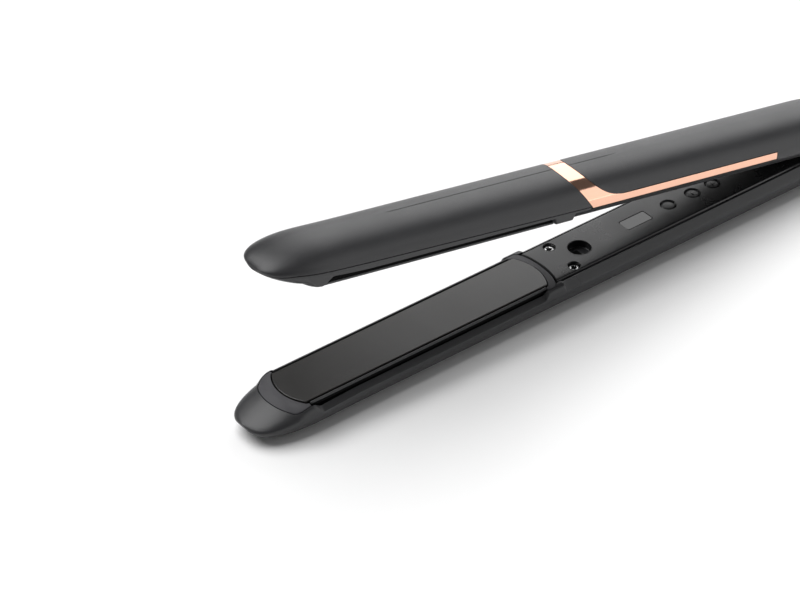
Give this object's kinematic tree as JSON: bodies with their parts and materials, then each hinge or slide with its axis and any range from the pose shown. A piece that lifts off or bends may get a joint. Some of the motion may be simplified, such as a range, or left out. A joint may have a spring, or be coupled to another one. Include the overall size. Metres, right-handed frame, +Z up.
{
  "type": "flat iron",
  "caption": "Hair straightener with two sprung arms, floating heated plates, a rose-gold band and a swivel cord inlet.",
  "frame": {"origin": "on the lower arm's flat belly, under the middle of the tool's length, on its centre plane", "axes": "+X from the plates' tip to the hinge and cord end, +Z up from the surface it lies on, +Y across the arms"},
  "size_m": [0.2868, 0.0278, 0.0763],
  "materials": {
    "matte_charcoal": "fine matte moulded plastic with a soft-touch sheen",
    "satin_black": "satin black moulded plastic",
    "button_black": "semi-gloss black plastic",
    "ceramic_plate": "glossy dark grey ceramic coating on aluminium",
    "cap_grey": "matte dark grey heat-resistant plastic",
    "rose_gold": "polished rose-gold plating",
    "bright_screw": "bright plated steel",
    "spring_steel": "plain steel",
    "heater_white": "off-white insulating film over ceramic",
    "board_green": "green solder-masked board",
    "lens_dark": "smoked clear plastic"
  },
  "bodies": {
    "lower_arm": {"lower_shell": "matte_charcoal", "lower_plate_frame": "matte_charcoal", "lower_inner_cover": "satin_black", "lower_cover_screw_left": "bright_screw", "lower_cover_screw_right": "bright_screw", "hinge_pin": "spring_steel", "hinge_cap_left": "satin_black", "hinge_cap_right": "satin_black", "hinge_spring": "spring_steel", "control_board": "board_green", "display_lens": "lens_dark", "swivel_clip": "spring_steel", "lower_float_spring_front": "spring_steel", "lower_float_spring_rear": "spring_steel"},
    "upper_arm": {"upper_front_shell": "matte_charcoal", "upper_rear_shell": "matte_charcoal", "rose_gold_band": "rose_gold", "upper_plate_frame": "matte_charcoal", "upper_inner_cover": "satin_black", "alignment_tongue": "satin_black", "upper_cover_screw_left": "bright_screw", "upper_cover_screw_right": "bright_screw", "upper_float_spring_front": "spring_steel", "upper_float_spring_rear": "spring_steel"},
    "lower_plate": {"lower_heated_plate": "ceramic_plate", "lower_tip_cap": "cap_grey", "lower_heel_cap": "cap_grey", "lower_heater": "heater_white", "lower_heater_clamp": "spring_steel", "lower_thermal_fuse": "spring_steel"},
    "upper_plate": {"upper_heated_plate": "ceramic_plate", "upper_tip_cap": "cap_grey", "upper_heel_cap": "cap_grey", "upper_heater": "heater_white", "upper_heater_clamp": "spring_steel", "upper_thermal_fuse": "spring_steel"},
    "power_button": {"power_button": "button_black"},
    "minus_button": {"minus_button": "button_black"},
    "plus_button": {"plus_button": "button_black"},
    "cord_swivel": {"cord_swivel": "matte_charcoal"}
  },
  "joints": [
    {"name": "arm_hinge", "type": "hinge", "parent": "lower_arm", "child": "upper_arm", "pos_m": [0.124, 0, 0.0135], "axis": [0, -1, 0], "range_deg": [0, 11.3], "stiffness_Nm_per_rad": 0.5, "springref_deg": -40.11, "deforming": ["hinge_spring"]},
    {"name": "lower_plate_float", "type": "slide", "parent": "lower_arm", "child": "lower_plate", "axis": [0, 0, -1], "range_m": [0, 0.0012], "stiffness_N_per_m": 1500, "springref_m": -0.001, "deforming": ["lower_float_spring_front", "lower_float_spring_rear"]},
    {"name": "upper_plate_float", "type": "slide", "parent": "upper_arm", "child": "upper_plate", "axis": [0.1959, 0, 0.9806], "range_m": [0, 0.0012], "stiffness_N_per_m": 1500, "springref_m": -0.001, "deforming": ["upper_float_spring_front", "upper_float_spring_rear"]},
    {"name": "power_press", "type": "slide", "parent": "lower_arm", "child": "power_button", "axis": [0, 0, -1], "range_m": [0, 0.0006], "stiffness_N_per_m": 1200, "springref_m": -0.0005},
    {"name": "minus_press", "type": "slide", "parent": "lower_arm", "child": "minus_button", "axis": [0, 0, -1], "range_m": [0, 0.0006], "stiffness_N_per_m": 1200, "springref_m": -0.0005},
    {"name": "plus_press", "type": "slide", "parent": "lower_arm", "child": "plus_button", "axis": [0, 0, -1], "range_m": [0, 0.0006], "stiffness_N_per_m": 1200, "springref_m": -0.0005},
    {"name": "cord_swivel_turn", "type": "hinge", "parent": "lower_arm", "child": "cord_swivel", "pos_m": [0.143, 0, 0.0065], "axis": [1, 0, 0], "continuous": true}
  ]
}
